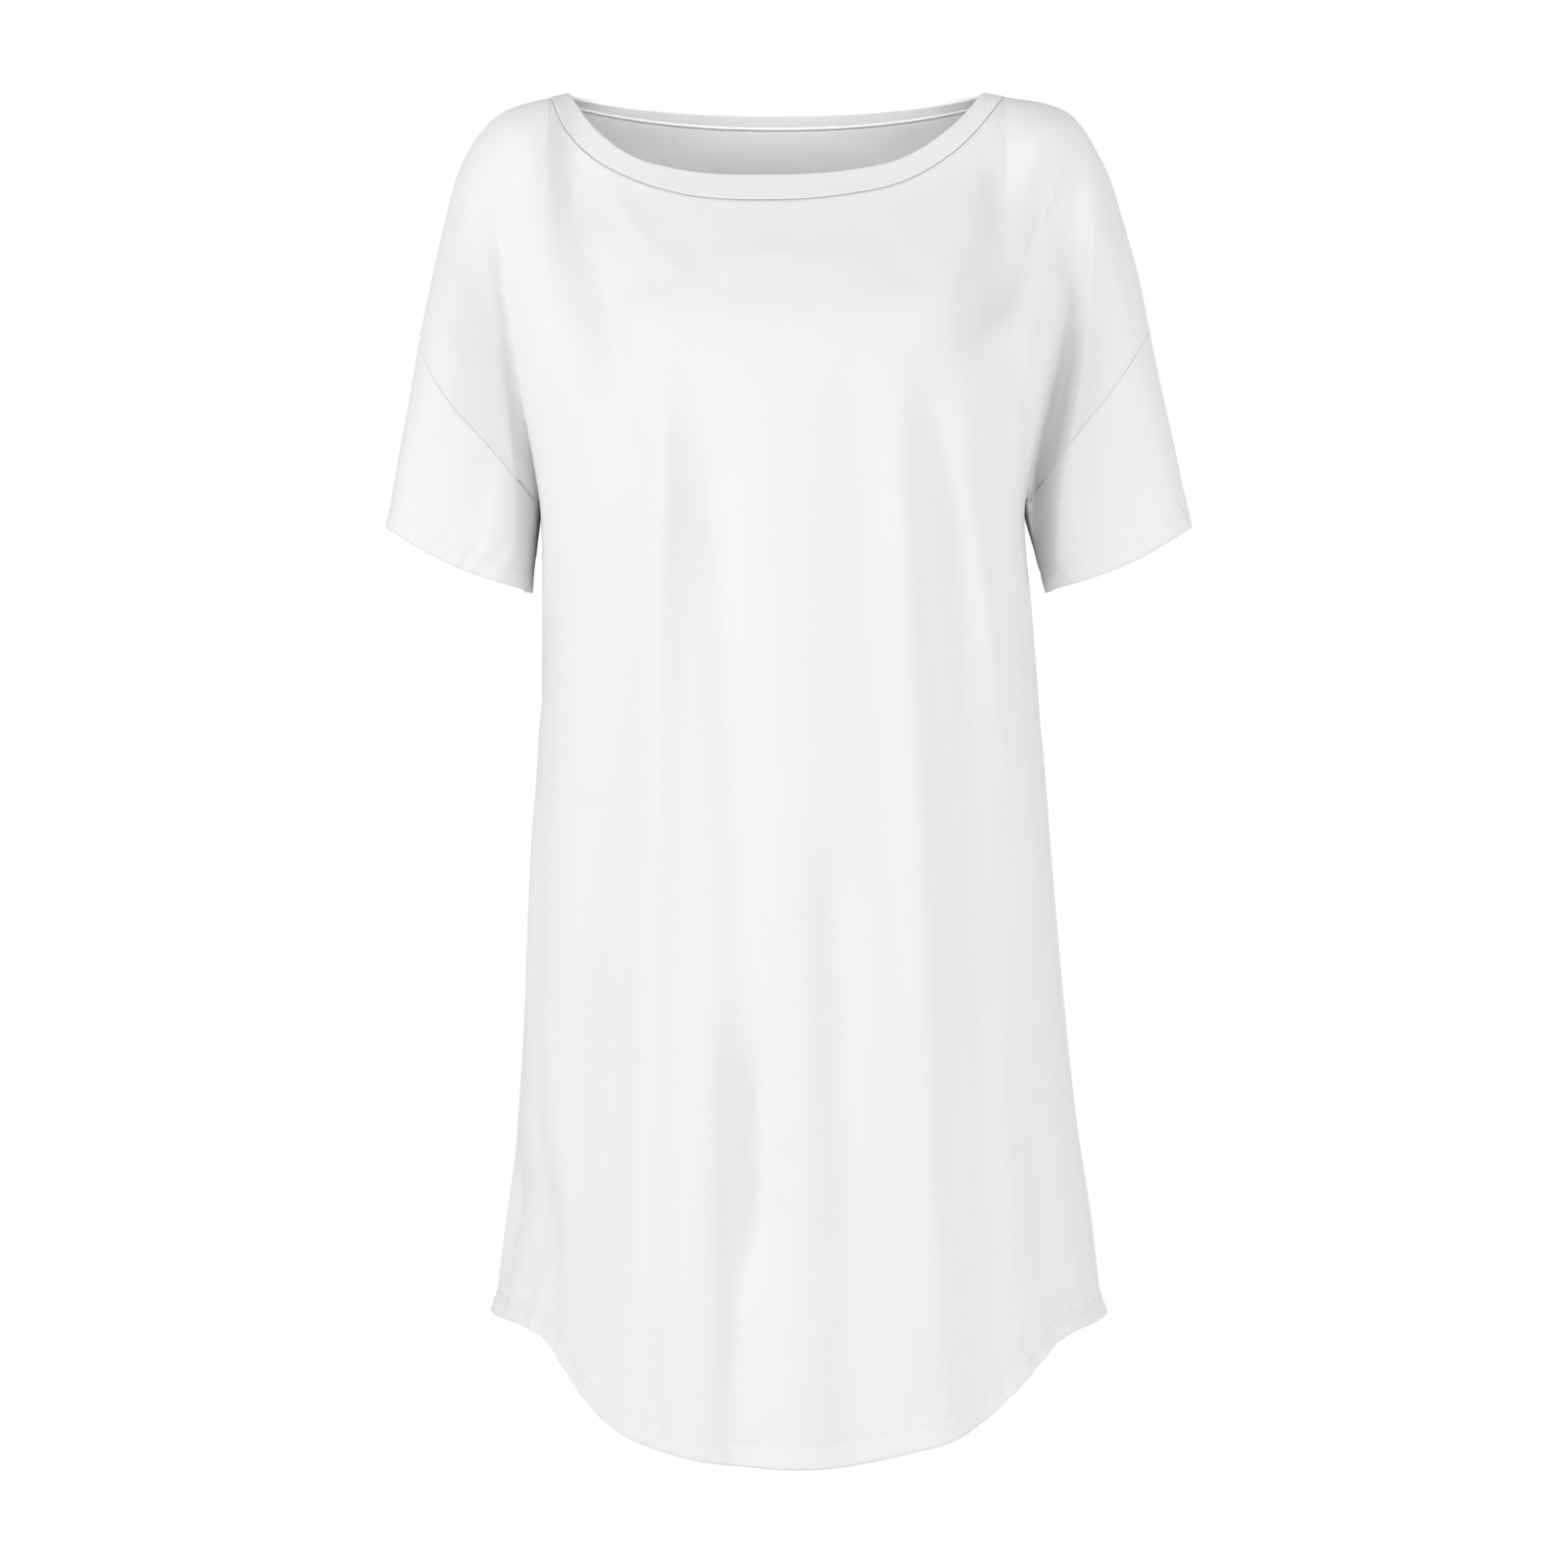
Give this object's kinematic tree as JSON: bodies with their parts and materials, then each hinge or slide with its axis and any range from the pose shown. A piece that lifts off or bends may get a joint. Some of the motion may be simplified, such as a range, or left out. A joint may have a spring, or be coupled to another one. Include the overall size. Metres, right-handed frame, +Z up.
{
  "type": "t-shirt dress",
  "caption": "Loose knee-length t-shirt dress in plain white jersey, hollow as worn, with a wide scooped neck, dropped short sleeves and a curved shirt-tail hem.",
  "frame": {"origin": "midway between the two points where the neck edge crosses the shoulders, where the wearer's shoulders hold the dress", "axes": "+X to the viewer's right when looking at the front, +Y from the front to the back, +Z up along the body"},
  "size_m": [0.5226, 0.2894, 0.8791],
  "materials": {
    "jersey": "matte plain white cotton jersey with a fine knit",
    "neckband": "matte plain white cotton jersey, folded double"
  },
  "bodies": {
    "root": {"front": "jersey", "back": "jersey", "sleeve_left": "jersey", "sleeve_right": "jersey", "neckband": "neckband"}
  },
  "joints": []
}
